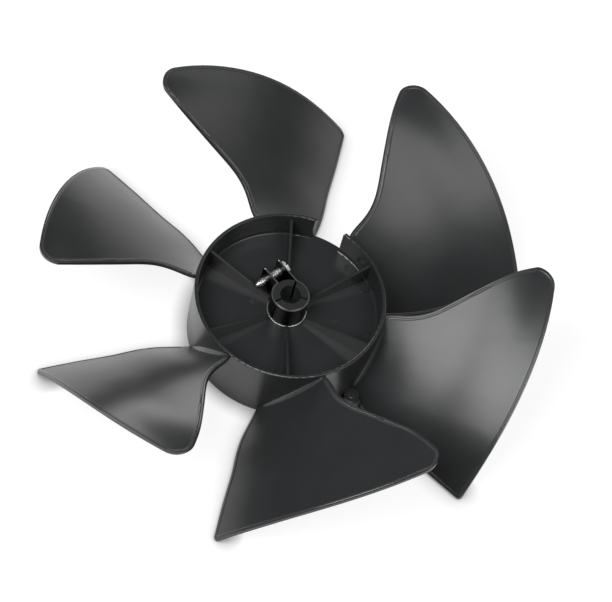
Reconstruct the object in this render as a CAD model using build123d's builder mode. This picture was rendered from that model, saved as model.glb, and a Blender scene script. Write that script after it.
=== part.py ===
from build123d import *
import os
from math import atan2, cos, degrees, hypot, radians, sin, tan

# ---------------------------------------------------------------------------
# Axial fan impeller: one moulding with a cup-shaped hub and six forward-swept
# blades, held on its shaft by a steel band and a screw around a slotted boss.
# The shaft runs along Z. The hub opens towards +Z, the intake side. The back of
# the hub and the low edges of the blades lie on z = 0. Millimetres and degrees.
# ---------------------------------------------------------------------------

# blades
blade_count = 6
tip_radius = 152.0
blade_thickness = 2.4
edge_round = 0.6
# the sharp tip corners lie this far outside the tip radius before they are rounded
high_corner_out, high_corner_radius = 4.6, 12.0
low_corner_out, low_corner_radius = 1.6, 4.0
# five stations, evenly spaced from the hub's rim to the tip
high_edge_angle = (11.7, 13.6, 20.1, 24.4, 26.0)
high_edge_height = (43.4, 51.8, 63.8, 75.0, 80.2)
low_edge_angle = (-24.0, -26.2, -25.15, -24.7, -24.1)
low_edge_height = 1.0
camber_root, camber_tip, camber_skew = 0.05, 0.22, 0.06
section_count = 10
points_per_side = 9

# hub shell
hub_rim_radius = 58.3
hub_draft = 1.0
hub_height = 44.5
hub_wall = 2.3
rim_round = 0.7
web_depth = 18.5
web_thickness = 2.6
web_round = 1.5
rib_angle = 50.0
rib_thickness = 1.5
rib_drop_at_wall = 3.5
rib_rise_at_boss = 3.5
notch_start, notch_end = 15.4, 32.5
pad_inset, pad_angle = 6.3, 44.0
pad_size, pad_height = 3.0, 1.0
# bumps inside the wall: angle and depth below the rim
bumps = ((125.4, 9.5), (138.1, 8.5))
bump_size = 0.9
lug_offset, lug_angle = 3.0, -25.0
lug_radius, lug_hole_radius, lug_height = 4.6, 2.4, 7.0

# boss, clamped on the shaft
boss_radius = 10.7
boss_rise = 0.1
boss_bottom = 5.0
boss_step = 1.3
bore_radius = 6.35
flat_depth = 0.2
flat_angle = 50.0
lead_in = 0.8
slot_angles = (8.0, 92.0, 232.0)
slot_width = 1.3
slot_floor_rise = 1.5

# clamp band and its screw
band_thickness = 0.9
band_clearance = 0.6
screw_angle = 60.0
screw_offset = 9.8
near_ear, far_ear = -1.0, 9.6
ear_margin = 4.1
ear_round = 2.5
collar_wall, collar_length = 1.0, 1.4
screw_radius = 2.4
screw_clearance = 0.4
tip_length = 7.6
flange_radius, flange_thickness = 5.2, 1.0
head_across_flats, head_height = 8.0, 3.6
driver_slot_width, driver_slot_depth = 1.2, 1.3
rib_clearance = 1.0

# sizes that follow from these
hub_back_radius = hub_rim_radius - hub_draft
web_top = hub_height - web_depth
web_bottom = web_top - web_thickness
inner_back, inner_rim = hub_back_radius - hub_wall, hub_rim_radius - hub_wall
inner_web = inner_rim - hub_draft * web_depth / hub_height
boss_top = hub_height + boss_rise
bore_flat = bore_radius - flat_depth
slot_floor = web_top + slot_floor_rise
band_radius = boss_radius + band_thickness
band_bottom, band_top = web_top + band_clearance, boss_top - band_clearance
screw_across = boss_radius + screw_offset
screw_z = (band_bottom + band_top) / 2
ear_reach = screw_across + ear_margin
screw_tip, screw_head = near_ear - tip_length, far_ear + band_thickness / 2
screw_end = screw_head + flange_thickness + head_height
rib_start = band_radius + rib_clearance
rib_height_at_wall = hub_height - rib_drop_at_wall
rib_height_at_boss = web_top + rib_rise_at_boss
rib_rise = (rib_height_at_wall - rib_height_at_boss) / (inner_rim - rib_start)
lug_distance = hub_rim_radius + lug_offset


def station(values, s):
    """Value at s (0 at the hub's rim, 1 at the tip) of a smooth curve through five stations."""
    if s < 0:
        return values[0] + s * 4 * (values[1] - values[0])
    if s > 1:
        return values[4] + (s - 1) * 4 * (values[4] - values[3])
    i = min(int(s * 4), 3)
    t = s * 4 - i
    slope = [values[1] - values[0]]
    slope += [(values[k + 1] - values[k - 1]) / 2 for k in (1, 2, 3)]
    slope += [values[4] - values[3]]
    a, b, m, n = values[i], values[i + 1], slope[i], slope[i + 1]
    return (
        a * (1 + 2 * t) * (1 - t) ** 2
        + m * t * (1 - t) ** 2
        + b * t * t * (3 - 2 * t)
        - n * t * t * (1 - t)
    )


def span(r):
    return (r - hub_rim_radius) / (tip_radius - hub_rim_radius)


def front_height(x, angle):
    """Height of the blade's front face above the point (x, x tan(angle))."""
    s = span(x / cos(radians(angle)))
    low, high = station(low_edge_angle, s), station(high_edge_angle, s)
    u = (angle - low) / (high - low)
    a = camber_root + (camber_tip - camber_root) * min(max(s, 0), 1.1)
    b = camber_skew * min(max(s, 0), 1.1)
    g = u + 4 * u * (1 - u) * (a + b * (1 - 2 * u))
    return low_edge_height + (station(high_edge_height, s) - low_edge_height) * g


def edge_angle(x, values):
    """Angle at which the plane x = const meets one edge of the blade."""
    angle = values[2]
    for _ in range(40):
        angle = 0.5 * angle + 0.5 * station(values, span(x / cos(radians(angle))))
    return angle


def front_frame(x, angle):
    """Point on the front face, unit tangent towards the high edge, and unit normal."""
    p = Vector(x, x * tan(radians(angle)), front_height(x, angle))
    q = Vector(x, x * tan(radians(angle + 0.05)), front_height(x, angle + 0.05))
    tangent = (q - p).normalized()
    return p, tangent, Vector(0, -tangent.Z, tangent.Y)


def blade_section(x):
    """Corners and side points of the blade's cross-section in the plane x = const."""
    low, high = edge_angle(x, low_edge_angle), edge_angle(x, high_edge_angle)
    front, back = [], []
    for i in range(points_per_side):
        angle = low + (high - low) * i / (points_per_side - 1)
        p, tangent, normal = front_frame(x, angle)
        if i == 0:
            p = p + tangent * edge_round
        if i == points_per_side - 1:
            p = p - tangent * edge_round
        front.append((p, tangent, normal))
        back.append(p - normal * blade_thickness)
    return front, back


def turned(angle, z):
    """Horizontal plane at height z, with its x direction turned to the given angle."""
    return Plane(origin=(0, 0, z), x_dir=(cos(radians(angle)), sin(radians(angle)), 0), z_dir=(0, 0, 1))


def upright(angle):
    """Vertical plane through the shaft's axis: x runs outwards at the given angle, y upwards."""
    a = radians(angle)
    return Plane(origin=(0, 0, 0), x_dir=(cos(a), sin(a), 0), z_dir=(sin(a), -cos(a), 0))


def screw_plane(distance):
    """Plane across the screw's axis, its normal pointing from the tip to the head."""
    along = Vector(1, 0).rotate(Axis.Z, screw_angle)
    across = Vector(0, 1).rotate(Axis.Z, screw_angle)
    origin = along * distance + across * screw_across + Vector(0, 0, screw_z)
    return Plane(origin=origin, x_dir=(0, 0, 1), z_dir=along)


def flat(v):
    """Point or direction in the plane of a cross-section, from its place in space."""
    return (v.Y, v.Z)


# --- one blade: cross-sections lofted along its length, from inside the hub to past the tip ---
section_start = inner_back * cos(radians(low_edge_angle[1])) - 2 * hub_wall
section_step = (tip_radius + high_corner_out - section_start) / (section_count - 1)
with BuildPart() as blade:
    for i in range(section_count):
        x = section_start + i * section_step
        side, back = blade_section(x)
        r = edge_round
        (p0, t0, n0), (p1, t1, n1) = side[0], side[-1]
        with BuildSketch(Plane(origin=(x, 0, 0), x_dir=(0, 1, 0), z_dir=(1, 0, 0))):
            with BuildLine():
                half = 0.7071 * r
                Spline([flat(p) for p, _, _ in side], tangents=[flat(t0), flat(t1)])
                ThreePointArc(
                    flat(p1), flat(p1 + t1 * half - n1 * (r - half)), flat(p1 + t1 * r - n1 * r)
                )
                Line(flat(p1 + t1 * r - n1 * r), flat(back[-1] + t1 * r + n1 * r))
                ThreePointArc(
                    flat(back[-1] + t1 * r + n1 * r),
                    flat(back[-1] + t1 * half + n1 * (r - half)),
                    flat(back[-1]),
                )
                Spline([flat(p) for p in reversed(back)], tangents=[flat(-t1), flat(-t0)])
                ThreePointArc(
                    flat(back[0]),
                    flat(back[0] - t0 * half + n0 * (r - half)),
                    flat(back[0] - t0 * r + n0 * r),
                )
                Line(flat(back[0] - t0 * r + n0 * r), flat(p0 - t0 * r - n0 * r))
                ThreePointArc(
                    flat(p0 - t0 * r - n0 * r), flat(p0 - t0 * half - n0 * (r - half)), flat(p0)
                )
            make_face()
    loft()
    # plan outline of the tip, with its two corners rounded
    with BuildSketch(Plane.XY.offset(-10)):
        with BuildLine():
            ends = []
            sides = ((low_edge_angle, low_corner_out, -1), (high_edge_angle, high_corner_out, 1))
            for values, out, turn in sides:
                p = Vector(tip_radius + out, 0).rotate(Axis.Z, station(values, 1.0))
                q = Vector(tip_radius * 0.94, 0).rotate(Axis.Z, station(values, 0.9))
                away = (q - p).normalized().rotate(Axis.Z, -2.5 * turn)
                ends.append((p, p + away * tip_radius / 2))
            (low_tip, low_in), (high_tip, high_in) = ends
            ThreePointArc(low_tip, Vector(tip_radius, 0), high_tip)
            Polyline(high_tip, high_in, (0, tip_radius / 2), (0, -tip_radius / 2), low_in, low_tip)
        make_face()
        fillet(vertices().sort_by_distance(high_tip)[:1], high_corner_radius)
        fillet(vertices().sort_by_distance(low_tip)[:1], low_corner_radius)
    extrude(amount=tip_radius, mode=Mode.INTERSECT)
    # the blade stops inside the hub's wall and doesn't reach below the back of the hub
    with BuildSketch(Plane.XZ):
        with BuildLine():
            root = hub_wall / 2
            Polyline(
                (0, -5),
                (hub_back_radius - root, -5),
                (hub_back_radius - root, 0),
                (hub_rim_radius - root, hub_height),
                (hub_rim_radius - root, tip_radius),
                (0, tip_radius),
                close=True,
            )
        make_face()
    revolve(axis=Axis.Z, mode=Mode.SUBTRACT)
    split(bisect_by=Plane.XY, keep=Keep.TOP)

# --- hub shell: outer wall, web and boss, turned about the shaft -------------
with BuildPart() as impeller:
    with BuildSketch(Plane.XZ):
        with BuildLine():
            Polyline(
                (bore_radius, boss_bottom),
                (boss_radius + boss_step, boss_bottom),
                (boss_radius + boss_step, web_bottom),
                (inner_back, web_bottom),
                (inner_back, 0),
                (hub_back_radius, 0),
                (hub_rim_radius, hub_height),
                (inner_rim, hub_height),
                (inner_web, web_top),
                (boss_radius, web_top),
                (boss_radius, boss_top),
                (bore_radius, boss_top),
                close=True,
            )
        rim = make_face().vertices()
        fillet(rim.sort_by_distance((inner_web, web_top))[:1], web_round)
        fillet(rim.sort_by_distance((boss_radius, boss_top))[:1], lead_in / 2)
        fillet(rim.sort_by_distance((bore_radius, boss_top))[:1], lead_in / 2)
    revolve(axis=Axis.Z)
    # flat of the D-shaped bore
    with BuildSketch(turned(flat_angle, boss_bottom)):
        Circle((bore_radius + boss_radius) / 2)
        with Locations((bore_flat - boss_radius, 0)):
            Rectangle(2 * boss_radius, 2 * boss_radius, mode=Mode.SUBTRACT)
    extrude(amount=boss_top - lead_in - boss_bottom)
    # six ribs that slope from the wall down towards the boss; the one by the screw stops short of it
    for k in range(6):
        angle = rib_angle + 60 * k
        start = rib_start
        if k == 1:
            start = (screw_end + rib_clearance + rib_thickness / 2) / cos(radians(angle - screw_angle))
        with BuildSketch(upright(angle)):
            with BuildLine():
                outer = inner_rim + hub_wall / 3
                Polyline(
                    (start, web_top - web_thickness / 2),
                    (start, rib_height_at_boss + rib_rise * (start - rib_start)),
                    (outer, rib_height_at_boss + rib_rise * (outer - rib_start)),
                    (outer, web_top - web_thickness / 2),
                    close=True,
                )
            make_face()
        extrude(amount=rib_thickness / 2, both=True)
    # three slots let the boss close on the shaft
    for angle in slot_angles:
        with BuildSketch(turned(angle, slot_floor)):
            with Locations((bore_radius / 2, 0)):
                Rectangle(boss_radius, slot_width, align=(Align.MIN, Align.CENTER))
        extrude(amount=boss_top, mode=Mode.SUBTRACT)
    # notch in the wall, in line with the clamp screw
    notch_reach = (inner_rim**2 - notch_end**2) ** 0.5 - hub_wall
    with BuildSketch(turned(screw_angle, web_top)):
        with Locations((notch_reach, (notch_start + notch_end) / 2)):
            Rectangle(hub_rim_radius, notch_end - notch_start, align=(Align.MIN, Align.CENTER))
    extrude(amount=hub_height, mode=Mode.SUBTRACT)
    fillet(impeller.edges().filter_by_position(Axis.Z, hub_height - 0.01, hub_height + 0.01), rim_round)
    # round pad on the web and two small bumps on the wall
    with BuildSketch(Plane.XY.offset(web_top - pad_height / 2)):
        with PolarLocations(hub_rim_radius - pad_inset, 1, start_angle=pad_angle):
            Circle(pad_size)
    extrude(amount=1.5 * pad_height)
    for angle, depth in bumps:
        with BuildSketch(upright(angle)):
            with Locations((inner_rim - bump_size, hub_height - depth)):
                Rectangle(2 * bump_size, bump_size, align=(Align.MIN, Align.MIN))
        outwards = (cos(radians(angle)), sin(radians(angle)), 0)
        revolve(axis=Axis((0, 0, hub_height - depth), outwards))
    # tubular lug on the hub's back edge, under the low edge of one blade
    with BuildSketch(Plane.XY):
        with PolarLocations(lug_distance, 1, start_angle=lug_angle):
            Circle(lug_radius)
    extrude(amount=lug_height)
    with PolarLocations(0, blade_count):
        add(blade.part)
    with BuildSketch(Plane.XY):
        with PolarLocations(lug_distance, 1, start_angle=lug_angle):
            Circle(lug_hole_radius)
    extrude(amount=lug_height, mode=Mode.SUBTRACT)
impeller.part.label = "impeller"

# --- clamp band: a strip bent round the boss, with two ears for the screw -----
with BuildPart() as clamp_band:
    with BuildSketch(turned(screw_angle, band_bottom)):
        Circle(band_radius)
        Circle(boss_radius, mode=Mode.SUBTRACT)
        inner_near, inner_far = near_ear + band_thickness / 2, far_ear - band_thickness / 2
        with Locations(((inner_near + inner_far) / 2, 0)):
            Rectangle(
                inner_far - inner_near, ear_reach, align=(Align.CENTER, Align.MIN), mode=Mode.SUBTRACT
            )
        for ear in (near_ear, far_ear):
            outer = abs(ear) + band_thickness / 2
            start = max((band_radius**2 - outer**2) ** 0.5 - band_thickness / 4, 0)
            if ear == near_ear:
                start = boss_radius + band_thickness / 8
            with Locations((ear, start)):
                Rectangle(band_thickness, ear_reach - start, align=(Align.CENTER, Align.MIN))
    extrude(amount=band_top - band_bottom)
    ear_ends = clamp_band.edges().filter_by(lambda e: abs(e.length - band_thickness) < 0.01)
    along = Vector(0, 1).rotate(Axis.Z, screw_angle)
    ear_ends = ear_ends.filter_by(lambda e: e.center().dot(along) > ear_reach - 0.1)
    fillet(ear_ends, ear_round)
    # threaded collar on the near ear, clearance hole in the far one
    with BuildSketch(screw_plane(near_ear)):
        Circle(screw_radius + collar_wall)
    extrude(amount=-band_thickness / 2 - collar_length)
    with BuildSketch(screw_plane(near_ear)):
        Circle(screw_radius)
    extrude(amount=band_thickness + collar_length, both=True, mode=Mode.SUBTRACT)
    with BuildSketch(screw_plane(far_ear)):
        Circle(screw_radius + screw_clearance)
    extrude(amount=band_thickness, both=True, mode=Mode.SUBTRACT)
clamp_band.part.label = "clamp_band"

# --- clamp screw: hexagon head with a flange and a driver slot ---------------
with BuildPart() as clamp_screw:
    with BuildSketch(screw_plane(screw_tip)):
        Circle(screw_radius)
    extrude(amount=screw_head - screw_tip)
    chamfer(clamp_screw.faces().sort_by_distance(Vector(*screw_plane(screw_tip).origin))[0].edges(), 0.5)
    with BuildSketch(screw_plane(screw_head)):
        Circle(flange_radius)
    extrude(amount=flange_thickness)
    with BuildSketch(screw_plane(screw_head + flange_thickness)):
        RegularPolygon(head_across_flats / 2, 6, major_radius=False)
    extrude(amount=head_height)
    with BuildSketch(screw_plane(screw_head + flange_thickness + head_height)):
        Rectangle(2 * head_across_flats, driver_slot_width)
    extrude(amount=-driver_slot_depth, mode=Mode.SUBTRACT)
clamp_screw.part.label = "clamp_screw"

os.makedirs("parts", exist_ok=True)
for piece in (impeller.part, clamp_band.part, clamp_screw.part):
    print(piece.label, len(piece.solids()), round(piece.volume), piece.is_valid)
    export_step(piece, "parts/" + piece.label + ".step")
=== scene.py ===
# %% [markdown]
# # An axial fan impeller
# The fan is one black plastic moulding: a cup-shaped hub with six swept blades and a slotted boss in its
# middle. A spring steel band and a zinc plated screw clamp that boss on the motor's shaft. Blender opens
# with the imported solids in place, in metres. They give the main forms, so this lesson gives them their
# finishes, models the details that are too fine for the solids, and then sets up a small studio.

import math

import bmesh
import bpy
from mathutils import Euler, Matrix, Vector
from mathutils.bvhtree import BVHTree


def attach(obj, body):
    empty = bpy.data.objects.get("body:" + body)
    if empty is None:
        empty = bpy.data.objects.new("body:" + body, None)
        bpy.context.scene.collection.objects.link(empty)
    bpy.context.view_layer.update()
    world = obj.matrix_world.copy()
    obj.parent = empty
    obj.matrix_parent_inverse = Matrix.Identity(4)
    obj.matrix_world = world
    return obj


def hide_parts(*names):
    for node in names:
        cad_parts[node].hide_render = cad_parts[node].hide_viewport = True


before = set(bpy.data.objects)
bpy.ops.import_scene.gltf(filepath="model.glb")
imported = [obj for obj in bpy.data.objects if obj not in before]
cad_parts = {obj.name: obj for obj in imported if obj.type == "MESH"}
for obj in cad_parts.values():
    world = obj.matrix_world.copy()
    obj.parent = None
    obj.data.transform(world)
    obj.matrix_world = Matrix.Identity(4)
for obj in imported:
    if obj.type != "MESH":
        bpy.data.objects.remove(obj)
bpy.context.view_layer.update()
MM = 0.001
print("nodes:", sorted(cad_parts))

# %% [markdown]
# ## Colours and shader nodes
# A hex colour is written for a screen, and the shader works on linear light, so each colour is converted
# once, by one function. A second small function adds a shader node, sets its values by name and makes its
# links. With it a material reads from top to bottom like a recipe.

# %% One function for colours and one for nodes
def linear(hex_colour):
    values = [int(hex_colour[i : i + 2], 16) / 255 for i in (1, 3, 5)]
    return [v / 12.92 if v <= 0.04045 else ((v + 0.055) / 1.055) ** 2.4 for v in values] + [1.0]


def node(tree, kind, settings=None, links=None):
    made = tree.nodes.new(kind)
    for name, value in (settings or {}).items():
        if isinstance(name, int) or name in made.inputs:
            made.inputs[name].default_value = value
        else:
            setattr(made, name, value)
    for name, source in (links or {}).items():
        tree.links.new(source, made.inputs[name])
    return made


print("half grey in linear light:", [round(v, 3) for v in linear("#808080")[:3]])

# %% [markdown]
# Each material starts as the standard shader and ends with the same three links: a colour, a roughness and
# a bump. Two functions hold those first and last lines.

# %% The first and last lines of a material
def new_material(name, metallic):
    material = bpy.data.materials.new(name)
    material.use_nodes = True
    tree = material.node_tree
    shader = tree.nodes["Principled BSDF"]
    shader.inputs["Metallic"].default_value = metallic
    return material, tree, shader


def link_finish(tree, shader, colour, roughness, bump):
    tree.links.new(colour.outputs["Result"], shader.inputs["Base Color"])
    tree.links.new(roughness.outputs[0], shader.inputs["Roughness"])
    tree.links.new(bump.outputs[0], shader.inputs["Normal"])
    print("material with", len(tree.nodes), "nodes")


# %% [markdown]
# ## The black plastic of the fan
# A condenser fan is moulded in glass-filled nylon or ABS, dyed black all through. The steel mould is
# lightly spark-eroded, which leaves a fine satin grain, so the plastic shows broad soft highlights and no
# mirror image. Three patterns on Object coordinates give this. A cloudy noise of 20 mm varies the colour
# and the gloss, as cooling does. A grain of 0.9 mm gives a little bump: the real one is near 0.1 mm, too
# fine to show. A few long faint streaks follow the way the melt ran out from the hub, so they are drawn by
# the angle round the axis. The cup inside the hub's wall came off a smoother core and is a little glossier
# than the blades. Raised beads and hollow corners get a greyer and glossier mix: its lighter grey is a
# painted highlight that brightens their lines of light.

# %% Moulded black plastic
CLOUD, GRAIN = 20 * MM, 0.9 * MM
CUP_RADIUS, OUTER_RADIUS = 56.1 * MM, 56.8 * MM  # the change of gloss lies inside the hub's wall


def moulded_black_plastic(name, darker, lighter, cup_roughness, blade_roughness):
    material, tree, shader = new_material(name, 0.0)
    place = node(tree, "ShaderNodeTexCoord").outputs["Object"]
    cloud = node(tree, "ShaderNodeTexNoise", {"Scale": 1 / CLOUD, "Detail": 3.0}, {"Vector": place})
    grain = node(tree, "ShaderNodeTexNoise", {"Scale": 1 / GRAIN, "Detail": 1.0}, {"Vector": place})
    parts = node(tree, "ShaderNodeSeparateXYZ", links={0: place})
    sides = {0: parts.outputs["Y"], 1: parts.outputs["X"]}
    angle = node(tree, "ShaderNodeMath", {"operation": "ARCTAN2"}, sides)
    level = node(tree, "ShaderNodeVectorMath", {"operation": "MULTIPLY", 1: (1, 1, 0)}, {0: place})
    out = node(tree, "ShaderNodeVectorMath", {"operation": "LENGTH"}, {0: level.outputs[0]})
    polar = node(tree, "ShaderNodeCombineXYZ", links={"X": angle.outputs[0], "Y": out.outputs["Value"]})
    drawn_out = node(tree, "ShaderNodeMapping", {"Scale": (26, 9, 1)}, {0: polar.outputs[0]})
    flow_noise = {"Scale": 1.0, "Detail": 4.0, "Roughness": 0.6}
    flow = node(tree, "ShaderNodeTexNoise", flow_noise, {"Vector": drawn_out.outputs[0]})
    colours = {"data_type": "RGBA", "A": linear(darker), "B": linear(lighter)}
    colour = node(tree, "ShaderNodeMix", colours, {"Factor": cloud.outputs["Fac"]})
    cloudy = {"From Min": 0.3, "From Max": 0.7, "To Min": 0.0, "To Max": 0.02}
    gloss = node(tree, "ShaderNodeMapRange", cloudy, {"Value": cloud.outputs["Fac"]})
    streaky = {"From Min": 0.35, "From Max": 0.65, "To Min": -0.008, "To Max": 0.008}
    streak = node(tree, "ShaderNodeMapRange", streaky, {"Value": flow.outputs["Fac"]})
    cored = {"From Min": CUP_RADIUS, "From Max": OUTER_RADIUS}
    cored |= {"To Min": cup_roughness, "To Max": blade_roughness}
    polish = node(tree, "ShaderNodeMapRange", cored, {"Value": out.outputs["Value"]})
    both = {0: gloss.outputs[0], 1: streak.outputs[0]}
    uneven = node(tree, "ShaderNodeMath", {"operation": "ADD"}, both)
    all_three = {0: polish.outputs[0], 1: uneven.outputs[0]}
    roughness = node(tree, "ShaderNodeMath", {"operation": "ADD"}, all_three)
    relief = {"Strength": 0.12, "Distance": 0.06 * MM}
    bump = node(tree, "ShaderNodeBump", relief, {"Height": grain.outputs["Fac"]})
    link_finish(tree, shader, colour, roughness, bump)
    return material


plastic = moulded_black_plastic("moulded black plastic", "#292a2b", "#303132", 0.22, 0.29)
# The lighter grey of this second mix is a painted highlight for the beads and the root fillets.
painted_highlight_plastic = moulded_black_plastic("black plastic with painted highlights", "#38393a", "#424344", 0.2, 0.2)

# %% [markdown]
# ## The oiled spring steel of the band
# The band is a strip of hardened steel, blued and oiled, so its face is nearly black. It was slit from a
# wider coil afterwards, and the cut edges show bare bright metal. On the frame's band the cut edges are the
# faces that look up or down, so the object's own normal picks them out. Rolling leaves fine lines along the
# strip, drawn 0.5 mm apart in height and much longer round the axis.

# %% Spring steel with bright cut edges
LINE_SPACING, OIL_PATCH = 0.5 * MM, 4 * MM


def oiled_spring_steel():
    material, tree, shader = new_material("oiled spring steel", 1.0)
    where = node(tree, "ShaderNodeTexCoord")
    facing = node(tree, "ShaderNodeSeparateXYZ", links={0: where.outputs["Normal"]})
    upright = node(tree, "ShaderNodeMath", {"operation": "ABSOLUTE"}, {0: facing.outputs["Z"]})
    cut = {"From Min": 0.45, "From Max": 0.8}
    edge = node(tree, "ShaderNodeMapRange", cut, {"Value": upright.outputs[0]})
    long_lines = {"Scale": (90, 90, 1 / LINE_SPACING)}
    rolled = node(tree, "ShaderNodeMapping", long_lines, {0: where.outputs["Object"]})
    lines = node(tree, "ShaderNodeTexNoise", {"Scale": 1.0, "Detail": 3.0}, {"Vector": rolled.outputs[0]})
    oil_noise = {"Scale": 1 / OIL_PATCH, "Detail": 2.0}
    oil = node(tree, "ShaderNodeTexNoise", oil_noise, {"Vector": where.outputs["Object"]})
    blued_colours = {"data_type": "RGBA", "A": linear("#2a2b2f"), "B": linear("#3a3835")}
    blued = node(tree, "ShaderNodeMix", blued_colours, {"Factor": oil.outputs["Fac"]})
    bare_metal = {"data_type": "RGBA", "B": linear("#c9cacb")}
    colour_links = {"Factor": edge.outputs[0], "A": blued.outputs["Result"]}
    colour = node(tree, "ShaderNodeMix", bare_metal, colour_links)
    lined = {"From Min": 0.3, "From Max": 0.7, "To Min": 0.26, "To Max": 0.32}
    roughness = node(tree, "ShaderNodeMapRange", lined, {"Value": lines.outputs["Fac"]})
    relief = {"Strength": 0.1, "Distance": 0.02 * MM}
    bump = node(tree, "ShaderNodeBump", relief, {"Height": lines.outputs["Fac"]})
    link_finish(tree, shader, colour, roughness, bump)
    return material


spring_steel = oiled_spring_steel()

# %% [markdown]
# ## The zinc plating of the screw
# The screw is steel with clear passivated zinc, a bright metal with a cool tint. The crystals of the
# plating scatter the light a little, and handling dulls it in patches of a few millimetres. So the colour
# and the roughness follow a noise of 2.5 mm, and a grain of 0.4 mm breaks up the reflections.

# %% Clear zinc plating
DULL_PATCH, CRYSTAL = 2.5 * MM, 0.4 * MM


def clear_zinc_plating():
    material, tree, shader = new_material("clear zinc plating", 1.0)
    place = node(tree, "ShaderNodeTexCoord").outputs["Object"]
    patches = node(tree, "ShaderNodeTexNoise", {"Scale": 1 / DULL_PATCH, "Detail": 2.0}, {"Vector": place})
    grain = node(tree, "ShaderNodeTexNoise", {"Scale": 1 / CRYSTAL, "Detail": 1.0}, {"Vector": place})
    colours = {"data_type": "RGBA", "A": linear("#d9dcdf"), "B": linear("#f4f4f2")}
    colour = node(tree, "ShaderNodeMix", colours, {"Factor": patches.outputs["Fac"]})
    dulled = {"From Min": 0.3, "From Max": 0.7, "To Min": 0.38, "To Max": 0.5}
    roughness = node(tree, "ShaderNodeMapRange", dulled, {"Value": patches.outputs["Fac"]})
    relief = {"Strength": 0.05, "Distance": 0.02 * MM}
    bump = node(tree, "ShaderNodeBump", relief, {"Height": grain.outputs["Fac"]})
    link_finish(tree, shader, colour, roughness, bump)
    return material


zinc = clear_zinc_plating()

# %% Dress the frame's own nodes
for name, material in (("impeller", plastic), ("clamp_band", spring_steel), ("clamp_screw", zinc)):
    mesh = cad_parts[name].data
    mesh.materials.clear()
    mesh.materials.append(material)
    print(name, "wears", material.name)

# %% [markdown]
# ## From a bmesh to a finished piece
# Every new piece is modelled in place, so its object stays at the origin. One function closes the work: it
# merges doubles, points the faces outwards, marks edges sharper than 35 degrees, and makes the rest smooth.
# It counts the open edges too, because a solid piece has none.

# %% One function that finishes a piece
SHARP_ANGLE = math.radians(35)


def finish(bm, name, material):
    bmesh.ops.remove_doubles(bm, verts=bm.verts, dist=1e-6)
    bmesh.ops.recalc_face_normals(bm, faces=bm.faces)
    open_edges = sum(not edge.is_manifold for edge in bm.edges)
    for face in bm.faces:
        face.smooth = True
    for edge in bm.edges:
        edge.smooth = edge.calc_face_angle(0) < SHARP_ANGLE
    mesh = bpy.data.meshes.new(name)
    bm.to_mesh(mesh)
    bm.free()
    mesh.materials.append(material)
    piece = bpy.data.objects.new(name, mesh)
    bpy.context.scene.collection.objects.link(piece)
    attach(piece, "root")
    print(name, "faces", len(mesh.polygons), "open edges", open_edges)
    return piece


# %% [markdown]
# Three pieces hold a round disc with a rounded edge: the screw's flange, a stub beside the lug and the
# marks of the ejector pins. A disc is a filled circle whose face is raised by an extrusion, and a rim is
# the ring of edges whose ends both belong to the same circle of vertices.

# %% Raise faces, stand a disc and round its rims
def raise_faces(bm, faces, rise):
    raised = bmesh.ops.extrude_face_region(bm, geom=faces)
    top = [g for g in raised["geom"] if isinstance(g, bmesh.types.BMVert)]
    bmesh.ops.translate(bm, verts=top, vec=(0, 0, rise))
    return top


def stand_disc(bm, radius, rise, sides, place):
    made = bmesh.ops.create_circle(bm, cap_ends=True, segments=sides, radius=radius, matrix=place)
    foot = made["verts"]
    top = raise_faces(bm, [face for face in bm.faces if all(v in foot for v in face.verts)], rise)
    return foot, top


def round_edges(bm, edges, radius, steps):
    bmesh.ops.bevel(bm, geom=edges, offset=radius, segments=steps, profile=0.5, affect="EDGES", material=-1)


def round_rims(bm, rims, radius, steps):
    edges = [edge for edge in bm.edges if any(all(v in rim for v in edge.verts) for rim in rims)]
    round_edges(bm, edges, radius, steps)
    return len(edges)


# %% [markdown]
# ## The clamp screw
# The frame's screw has its flange, its hexagon and its driver slot, but a smooth shank and sharp edges. The
# real one is a 4.8 mm thread-forming screw. It is drawn standing on the z axis first, from its point up to
# its head, and moved into the band's ears at the end. The core is an outline spun round the axis.

# %% The screw's core
SCREW_POINT, CHAMFER_END, TAPER_START, CORE_TOP = -8.6 * MM, -8.2 * MM, -4.2 * MM, 10.2 * MM
POINT_RADIUS, CHAMFER_RADIUS, CORE_RADIUS = 0.9 * MM, 1.2 * MM, 2.05 * MM
screw = bmesh.new()
outline = [
    (0, SCREW_POINT),
    (POINT_RADIUS, SCREW_POINT),
    (CHAMFER_RADIUS, CHAMFER_END),
    (CORE_RADIUS, TAPER_START),
    (CORE_RADIUS, CORE_TOP),
    (0, CORE_TOP),
]
verts = [screw.verts.new((radius, 0, height)) for radius, height in outline]
edges = [screw.edges.new(pair) for pair in zip(verts, verts[1:])]
bmesh.ops.spin(screw, geom=edges + verts, axis=(0, 0, 1), angle=math.tau, steps=40, use_merge=True)
print("core faces", len(screw.faces))

# %% [markdown]
# The thread is a small blunt tooth, sunk a little in the core, that is spun up a helix. That is what the
# spin operator's dvec is for: it moves each step up by its share of the pitch.

# %% The screw's thread
PITCH, THREAD_START, THREAD_END = 1.6 * MM, -7.4 * MM, 9.6 * MM
TOOTH_ROOT, TOOTH_CREST = 1.9 * MM, 2.4 * MM
ROOT_HALF, CREST_HALF = 0.6 * MM, 0.15 * MM
STEPS_IN_A_TURN = 36
turns = (THREAD_END - THREAD_START) / PITCH
steps = round(turns * STEPS_IN_A_TURN)
corners = [
    (TOOTH_ROOT, -ROOT_HALF),
    (TOOTH_CREST, -CREST_HALF),
    (TOOTH_CREST, CREST_HALF),
    (TOOTH_ROOT, ROOT_HALF),
]
ridge = [screw.verts.new((radius, 0, THREAD_START + height)) for radius, height in corners]
tooth = screw.faces.new(ridge)
bmesh.ops.spin(
    screw,
    geom=[tooth] + list(tooth.edges) + ridge,
    axis=(0, 0, 1),
    dvec=(0, 0, (THREAD_END - THREAD_START) / steps),
    angle=math.tau * turns,
    steps=steps,
    use_merge=False,
)
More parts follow.
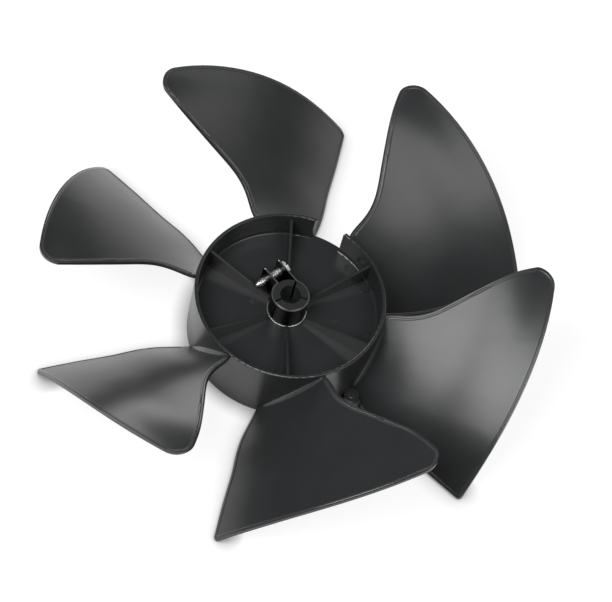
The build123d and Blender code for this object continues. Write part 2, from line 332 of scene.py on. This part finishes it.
print("thread turns", round(turns, 1), "faces so far", len(screw.faces))

# %% [markdown]
# At its point the screw tapers, and its thread runs out with it. Each vertex of the thread that lies lower
# than the start of the core's taper is drawn in towards the axis, the more the lower it is.

# %% Taper the thread at the point
TAPER_LENGTH, TAPER_SHARE, TIP_RADIUS = 4.2 * MM, 0.42, 1.6 * MM
for vert in screw.verts:
    out = Vector((vert.co.x, vert.co.y))
    if vert.co.z < TAPER_START and out.length > TIP_RADIUS:
        share = min(1.0, (TAPER_START - vert.co.z) / TAPER_LENGTH)
        out *= 1 - TAPER_SHARE * share
        vert.co.x, vert.co.y = out
print("point width in mm:", round(2 * max(v.co.x for v in screw.verts if v.co.z < -8 * MM) / MM, 2))

# %% [markdown]
# The head starts as a washer-like flange with both its rims rounded.

# %% The flange
FLANGE_FOOT, FLANGE_RADIUS, FLANGE_THICKNESS, FLANGE_ROUND = 10.05 * MM, 5.2 * MM, 1.0 * MM, 0.3 * MM
at_foot = Matrix.Translation((0, 0, FLANGE_FOOT))
flange_rims = stand_disc(screw, FLANGE_RADIUS, FLANGE_THICKNESS, 48, at_foot)
print("rim edges rounded:", round_rims(screw, flange_rims, FLANGE_ROUND, 3))

# %% [markdown]
# The hexagon on the flange is drawn flat, cut in three strips by two planes, and raised. Raising only the
# two outer strips once more leaves the driver slot open between them. The faces that were raised stay
# behind as inner walls, so they are deleted.

# %% The hexagon with its slot
ACROSS_FLATS, HEAD_ROUND = 8.0 * MM, 0.22 * MM
SLOT_WIDTH, SLOT_FLOOR, SLOT_DEPTH = 1.2 * MM, 2.35 * MM, 1.25 * MM
head = bmesh.new()
corner_radius = ACROSS_FLATS / 2 / math.cos(math.pi / 6)
bmesh.ops.create_circle(head, cap_ends=True, segments=6, radius=corner_radius)
for side in (-SLOT_WIDTH / 2, SLOT_WIDTH / 2):
    everything = list(head.verts) + list(head.edges) + list(head.faces)
    bmesh.ops.bisect_plane(head, geom=everything, plane_co=(side, 0, 0), plane_no=(1, 0, 0))
raise_faces(head, list(head.faces), SLOT_FLOOR)
level = [f for f in head.faces if abs(f.normal.z) > 0.9 and f.calc_center_median().z > SLOT_FLOOR / 2]
lands = [f for f in level if abs(f.calc_center_median().x) > SLOT_WIDTH / 2]
raise_faces(head, lands, SLOT_DEPTH)
bmesh.ops.delete(head, geom=lands, context="FACES_ONLY")
bmesh.ops.recalc_face_normals(head, faces=head.faces)
bent = [e for e in head.edges if e.is_manifold and e.calc_face_angle(0) > 0.5]
round_edges(head, [e for e in bent if max(v.co.z for v in e.verts) > SLOT_FLOOR / 2], HEAD_ROUND, 2)
bmesh.ops.translate(head, verts=head.verts, vec=(0, 0, FLANGE_FOOT + FLANGE_THICKNESS))
head_mesh = bpy.data.meshes.new("head")
head.to_mesh(head_mesh)
head.free()
screw.from_mesh(head_mesh)
print("head top in mm:", round(max(v.co.z for v in screw.verts) / MM, 2))

# %% [markdown]
# The axis of the screw runs level, along 60 degrees, and passes 20.5 mm from the fan's axis at a height of
# 35.3 mm. One matrix lays the standing screw down there: its columns are where x, y and z go.

# %% Lay the screw in the ears
SCREW_ANGLE, SCREW_OFFSET, SCREW_HEIGHT = math.radians(60), 20.5 * MM, 35.3 * MM
along = Vector((math.cos(SCREW_ANGLE), math.sin(SCREW_ANGLE), 0))
across = Vector((-along.y, along.x, 0))
axes = Matrix((across, along.cross(across), along)).transposed().to_4x4()
lay = Matrix.Translation(across * SCREW_OFFSET + Vector((0, 0, SCREW_HEIGHT))) @ axes
bmesh.ops.transform(screw, matrix=lay, verts=screw.verts)
screw_piece = finish(screw, "thread_forming_screw", zinc)
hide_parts("clamp_screw")

# %% [markdown]
# ## The fillets at the blade roots
# Molten plastic doesn't like a sharp inner corner, so each blade meets the hub's wall in a small hollow
# curve. It catches a line of light under the rim. The frame has none, so each fillet is a bead of its own.
# Rays cast on the frame's fan find the blade's face next to the wall. At each station a small section is
# drawn there: one point inside the plastic, and an arc of six points between wall and blade. Bridging one
# section with the next makes the bead, and the section shrinks to almost nothing towards both ends of the
# blade.

# %% Sections of a fillet, found by rays
WALL_RADIUS, WALL_DRAFT, WALL_FOOT = 57.3 * MM, 0.0225, 2 * MM  # the hub's wall leans out as it rises
RAY_RADIUS, HIGHEST, LOWEST = 59.5 * MM, 43.6 * MM, 0.4 * MM
RAY_ABOVE, RAY_BELOW = 60 * MM, -1 * MM
SUNK_IN_WALL, SUNK_IN_BLADE, SMALLEST = 0.5 * MM, 0.8 * MM, 0.1 * MM
ARC_POINTS, OVERREACH = 6, 1.03  # the arc reaches a little past both faces, so its ends are sunk
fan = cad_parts["impeller"].data
fan_tree = BVHTree.FromPolygons([v.co for v in fan.vertices], [p.vertices[:] for p in fan.polygons])


def section(bm, angle, side, size):
    turn = Matrix.Rotation(math.radians(angle), 4, "Z")
    start = Vector((RAY_RADIUS, 0, RAY_ABOVE if side > 0 else RAY_BELOW))
    hit = fan_tree.ray_cast(turn @ start, Vector((0, 0, -side)))[0]
    radius = WALL_RADIUS + WALL_DRAFT * (hit.z - WALL_FOOT)
    room = HIGHEST - hit.z if side > 0 else hit.z - LOWEST
    size = max(SMALLEST, min(size, room))
    centre = Vector((radius + size, 0, hit.z + side * size))
    points = [Vector((radius - SUNK_IN_WALL, 0, hit.z - side * SUNK_IN_BLADE))]
    for i in range(ARC_POINTS):
        a = math.pi + math.pi / 2 * i / (ARC_POINTS - 1)
        points.append(centre + Vector((math.cos(a), 0, side * math.sin(a))) * size * OVERREACH)
    ring = [bm.verts.new(turn @ p) for p in points]
    return [bm.edges.new((ring[i - 1], ring[i])) for i in range(len(ring))]


probe = bmesh.new()
print("one section has", len(section(probe, 60, 1, 2.4 * MM)), "edges")
probe.free()

# %% Bridge the sections into twelve beads
BLADES, STATIONS, FULLNESS, END_SIZE = 6, 26, 0.6, 0.12
UPPER, LOWER = (1, 39.5, 71.0, 4.0), (-1, 41.0, 72.0, 1.8)  # side, first and last degree, largest size in mm
beads = bmesh.new()
for side, first, last, largest in (UPPER, LOWER):
    loops = []
    for i in range(STATIONS):
        share = i / (STATIONS - 1)
        size = largest * (4 * share * (1 - share)) ** FULLNESS
        loops.append(section(beads, first + (last - first) * share, side, max(END_SIZE, size) * MM))
    for one, other in zip(loops, loops[1:]):
        bmesh.ops.bridge_loops(beads, edges=one + other)
    bmesh.ops.holes_fill(beads, edges=loops[0] + loops[-1], sides=0)
everything = list(beads.verts) + list(beads.edges) + list(beads.faces)
for i in range(1, BLADES):
    copied = bmesh.ops.duplicate(beads, geom=everything)["geom"]
    moved = [g for g in copied if isinstance(g, bmesh.types.BMVert)]
    turn = Matrix.Rotation(math.tau / BLADES * i, 3, "Z")
    bmesh.ops.rotate(beads, verts=moved, cent=(0, 0, 0), matrix=turn)
# The fillets wear the lighter plastic, whose grey is a painted highlight along the blade roots.
finish(beads, "blade_root_fillets", painted_highlight_plastic)

# %% [markdown]
# ## The bead round each blade
# A thin blade is often stiffened by a low bead along its free edges, just inside the rounded edge. It draws
# a fine bright line round each blade. Its path can be read from the frame's mesh: it follows the border of
# the blade's upper face. So a copy of the mesh is merged, and from one face in the middle of the blade the
# selection grows over every edge that bends less than 5 degrees. It stops where the rounded edge starts.
# The border's edges at the hub are left out.

# %% Grow over the upper face of one blade
BLADE_MIDDLE, MIDDLE_RADIUS, ABOVE_BLADES = math.radians(54), 100 * MM, 90 * MM
FLATTEST_BEND, BEAD_START = math.radians(5), 60.5 * MM
copy = bmesh.new()
copy.from_mesh(fan)
bmesh.ops.remove_doubles(copy, verts=copy.verts, dist=2e-6)
above = Matrix.Rotation(BLADE_MIDDLE, 4, "Z") @ Vector((MIDDLE_RADIUS, 0, ABOVE_BLADES))
middle = fan_tree.ray_cast(above, Vector((0, 0, -1)))[0]
facing_up = [f for f in copy.faces if f.normal.z > 0.2]
seed = min(facing_up, key=lambda f: (f.calc_center_median() - middle).length)
upper, growing = {seed}, [seed]
while growing:
    for edge in growing.pop().edges:
        for face in edge.link_faces:
            if face not in upper and edge.calc_face_angle(9) < FLATTEST_BEND:
                upper.add(face)
                growing.append(face)
border = [e for e in copy.edges if sum(f in upper for f in e.link_faces) == 1]
border = [e for e in border if min(v.co.xy.length for v in e.verts) > BEAD_START]
print("upper face has", len(upper), "triangles and a border of", len(border), "edges")

# %% [markdown]
# The border edges are walked from end to end. At each vertex the face's normal and the direction of the
# walk give the third direction, which points into the blade. The bead's centre line lies 1.6 mm in from the
# border and 0.88 mm below the surface, so a round of 1.2 mm radius stands 0.32 mm proud and is 1.6 mm wide.

# %% Walk the border and step inwards
BEAD_INSET, BEAD_DEPTH, BEAD_RADIUS = 1.6 * MM, 0.88 * MM, 1.2 * MM
neighbours = {}
for edge in border:
    for vert in edge.verts:
        neighbours.setdefault(vert, []).append(edge.other_vert(vert))
walk = [next(v for v, others in neighbours.items() if len(others) == 1)]
while True:
    ahead = [v for v in neighbours[walk[-1]] if v not in walk]
    if not ahead:
        break
    walk.append(ahead[0])
centre_line = []
for i, vert in enumerate(walk):
    faces = [f for f in vert.link_faces if f in upper]
    normal = sum((f.normal * f.calc_area() for f in faces), Vector()).normalized()
    onwards = (walk[min(i + 1, len(walk) - 1)].co - walk[max(i - 1, 0)].co).normalized()
    inwards = normal.cross(onwards).normalized()
    if inwards.dot(middle - vert.co) < 0:
        inwards = -inwards
    centre_line.append(vert.co + inwards * BEAD_INSET - normal * BEAD_DEPTH)
copy.free()
print("bead length in mm:", round(sum((a - b).length for a, b in zip(centre_line, centre_line[1:])) / MM))

# %% Sweep the bead along that line, once for each blade
line = bpy.data.curves.new("bead line", "CURVE")
line.dimensions = "3D"
line.bevel_depth = BEAD_RADIUS
line.bevel_resolution = 7
line.use_fill_caps = True
for i in range(BLADES):
    turn = Matrix.Rotation(math.tau / BLADES * i, 4, "Z")
    spline = line.splines.new("POLY")
    spline.points.add(len(centre_line) - 1)
    for point, place in zip(spline.points, centre_line):
        point.co = (*(turn @ place), 1)
line_object = bpy.data.objects.new("bead line", line)
bead = bmesh.new()
bead.from_mesh(bpy.data.meshes.new_from_object(line_object))
bpy.data.objects.remove(line_object)
# The beads wear the lighter plastic, whose grey is a painted highlight along the blade edges.
finish(bead, "blade_edge_beads", painted_highlight_plastic)

# %% [markdown]
# ## The foot of the clamp band
# The strip's lower edge is rolled out a little, so that it can't cut into the boss, and it shows as a
# bright arc there. A small circle spun round the boss makes it, and leaves out the side with the two ears.
# The roll is rubbed as bright as the screw, so it wears the zinc.

# %% A rolled foot for the band
ROLL_RADIUS, ROLL_HEIGHT, ROLL_THICKNESS = 11.75 * MM, 27.0 * MM, 0.35 * MM
ROLL_START, ROLL_SPAN = math.radians(165), math.radians(285)
foot = bmesh.new()
upended = Matrix.Rotation(math.pi / 2, 4, "X")
beside_ears = Matrix.Rotation(ROLL_START, 4, "Z") @ Matrix.Translation((ROLL_RADIUS, 0, ROLL_HEIGHT))
ring_place = beside_ears @ upended
bmesh.ops.create_circle(foot, cap_ends=True, segments=10, radius=ROLL_THICKNESS, matrix=ring_place)
everything = list(foot.verts) + list(foot.edges) + list(foot.faces)
bmesh.ops.spin(foot, geom=everything, axis=(0, 0, 1), angle=ROLL_SPAN, steps=80, use_merge=False)
finish(foot, "band_rolled_foot", zinc)

# %% [markdown]
# ## The foot of the lug
# A solid stub of 2.3 mm radius stands between the small lug at the hub's base and the edge of the blade next
# to it. It is a little lower than the lug, and its upper edge is rounded.

# %% A stub beside the lug
LUG_ANGLE, STUB_PLACE, STUB_FOOT = math.radians(-25.3), 66.0 * MM, 0.2 * MM
STUB_RADIUS, STUB_HEIGHT, STUB_ROUND = 2.3 * MM, 6.2 * MM, 0.6 * MM
stub = bmesh.new()
at_lug = Matrix.Rotation(LUG_ANGLE, 4, "Z") @ Matrix.Translation((STUB_PLACE, 0, STUB_FOOT))
stub_top = stand_disc(stub, STUB_RADIUS, STUB_HEIGHT, 32, at_lug)[1]
round_rims(stub, [stub_top], STUB_ROUND, 3)
finish(stub, "lug_foot", plastic)

# %% [markdown]
# ## The marks of the ejector pins
# Steel pins push the moulding out of the mould, and each leaves a round mark, here a disc 4 mm across that
# stands 0.15 mm proud of the web. The disc starts 0.1 mm below the web's surface, so it is joined to it.

# %% Four ejector pin marks
PIN_RADIUS, MARK_FOOT, MARK_RISE, MARK_ROUND = 2.0 * MM, 25.9 * MM, 0.25 * MM, 0.1 * MM
marks = bmesh.new()
for x, y in ((-24.0, 48.4), (28.4, 6.5), (50.7, 6.4), (23.0, 45.0)):
    at_pin = Matrix.Translation((x * MM, y * MM, MARK_FOOT))
    mark_top = stand_disc(marks, PIN_RADIUS, MARK_RISE, 32, at_pin)[1]
    round_rims(marks, [mark_top], MARK_ROUND, 2)
finish(marks, "ejector_pin_marks", plastic)

# %% [markdown]
# ## The floor
# A sweep of paper that is lit until it is pure white would flood the fan with light. So the camera and the
# reflections see a paper that glows by itself and still darkens where a lamp's shadow falls, while the light
# that bounces softly meets an ordinary pale paper. Close to the fan the glow is dimmed by an occlusion test,
# a painted contact shadow.

# %% A white paper floor
FLOOR_SIZE, FLOOR_DROP, PAINTED_SHADOW_REACH = 6, 0.5 * MM, 12 * MM
bpy.ops.mesh.primitive_plane_add(size=FLOOR_SIZE, location=(0, 0, -FLOOR_DROP))
floor = bpy.context.object
floor.name = "floor"
paper = bpy.data.materials.new("white paper")
paper.use_nodes = True
tree = paper.node_tree
tree.nodes.clear()
path = node(tree, "ShaderNodeLightPath")
pale = node(tree, "ShaderNodeBsdfDiffuse", {"Color": linear("#e1e1e1")})
shade = node(tree, "ShaderNodeBsdfDiffuse", {"Color": linear("#898989")})
# The occlusion test dims the glow near the fan and under it: a painted contact shadow.
nearby = node(tree, "ShaderNodeAmbientOcclusion", {"samples": 16, "Distance": PAINTED_SHADOW_REACH})
painted_shadow_levels = {"From Min": 0.45, "To Min": 0.2, "To Max": 0.86}
painted_contact_shadow = node(tree, "ShaderNodeMapRange", painted_shadow_levels, {"Value": nearby.outputs["AO"]})
glow = node(tree, "ShaderNodeEmission", links={"Strength": painted_contact_shadow.outputs[0]})
seen = node(tree, "ShaderNodeAddShader", links={0: shade.outputs[0], 1: glow.outputs[0]})
looks = {0: path.outputs["Is Camera Ray"], 1: path.outputs["Is Glossy Ray"]}
looked_at = node(tree, "ShaderNodeMath", {"operation": "MAXIMUM"}, looks)
papers = {0: looked_at.outputs[0], 1: pale.outputs[0], 2: seen.outputs[0]}
mix = node(tree, "ShaderNodeMixShader", links=papers)
node(tree, "ShaderNodeOutputMaterial", links={0: mix.outputs[0]})
floor.data.materials.append(paper)
print("floor", tuple(round(v, 2) for v in floor.dimensions))

# %% [markdown]
# ## The studio lights
# Black plastic shows its shape by its highlights alone, so each lamp is a large round softbox that draws
# one broad gleam. The key stands in front on the left, and its gleam falls on the front right blade and
# fills the cup. The side light on the right does the same for the rear right blade, and the low one behind
# does it for the front left blade. A weak fill behind on the right softens the rear blade.

# %% Four softboxes
scene = bpy.context.scene
scene.view_settings.view_transform = "Standard"
world = bpy.data.worlds.new("studio")
scene.world = world
world.use_nodes = True
background = world.node_tree.nodes["Background"]
background.inputs["Color"].default_value = (1, 1, 1, 1)
background.inputs["Strength"].default_value = 0.08
LAMP_DISTANCE = 2.2


def softbox(name, azimuth, elevation, width, power):
    around, up = math.radians(azimuth), math.radians(elevation)
    towards = Vector((math.cos(up) * math.cos(around), math.cos(up) * math.sin(around), math.sin(up)))
    lamp = bpy.data.lights.new(name, "AREA")
    lamp.shape = "DISK"
    lamp.size = width
    lamp.energy = power
    box = bpy.data.objects.new(name, lamp)
    scene.collection.objects.link(box)
    box.location = towards * LAMP_DISTANCE
    box.rotation_euler = (-towards).to_track_quat("-Z", "Y").to_euler()
    print(name, power, "W")


softbox("key softbox", -124, 55, 1.4, 37)
softbox("side softbox", -17, 55, 1.2, 13)
softbox("low softbox", 118, 8, 0.9, 8)
softbox("fill softbox", 50, 40, 1.2, 4.5)

# %% [markdown]
# ## The camera
# A long lens from far above keeps the blades' true proportions. The render is 612 by 602, so the sensor's
# width is the side that fits.

# %% Camera
camera_data = bpy.data.cameras.new("camera")
camera = bpy.data.objects.new("camera", camera_data)
scene.collection.objects.link(camera)
camera.location = (0.27903, -1.90175, 3.03136)
camera.rotation_euler = Euler([math.radians(a) for a in (31.797, -8.257, 21.096)], "XYZ")
camera_data.lens = 347.72
camera_data.sensor_width = 36.0
camera_data.clip_end = 20
scene.camera = camera
print("camera", round(camera.location.length, 2), "m away")
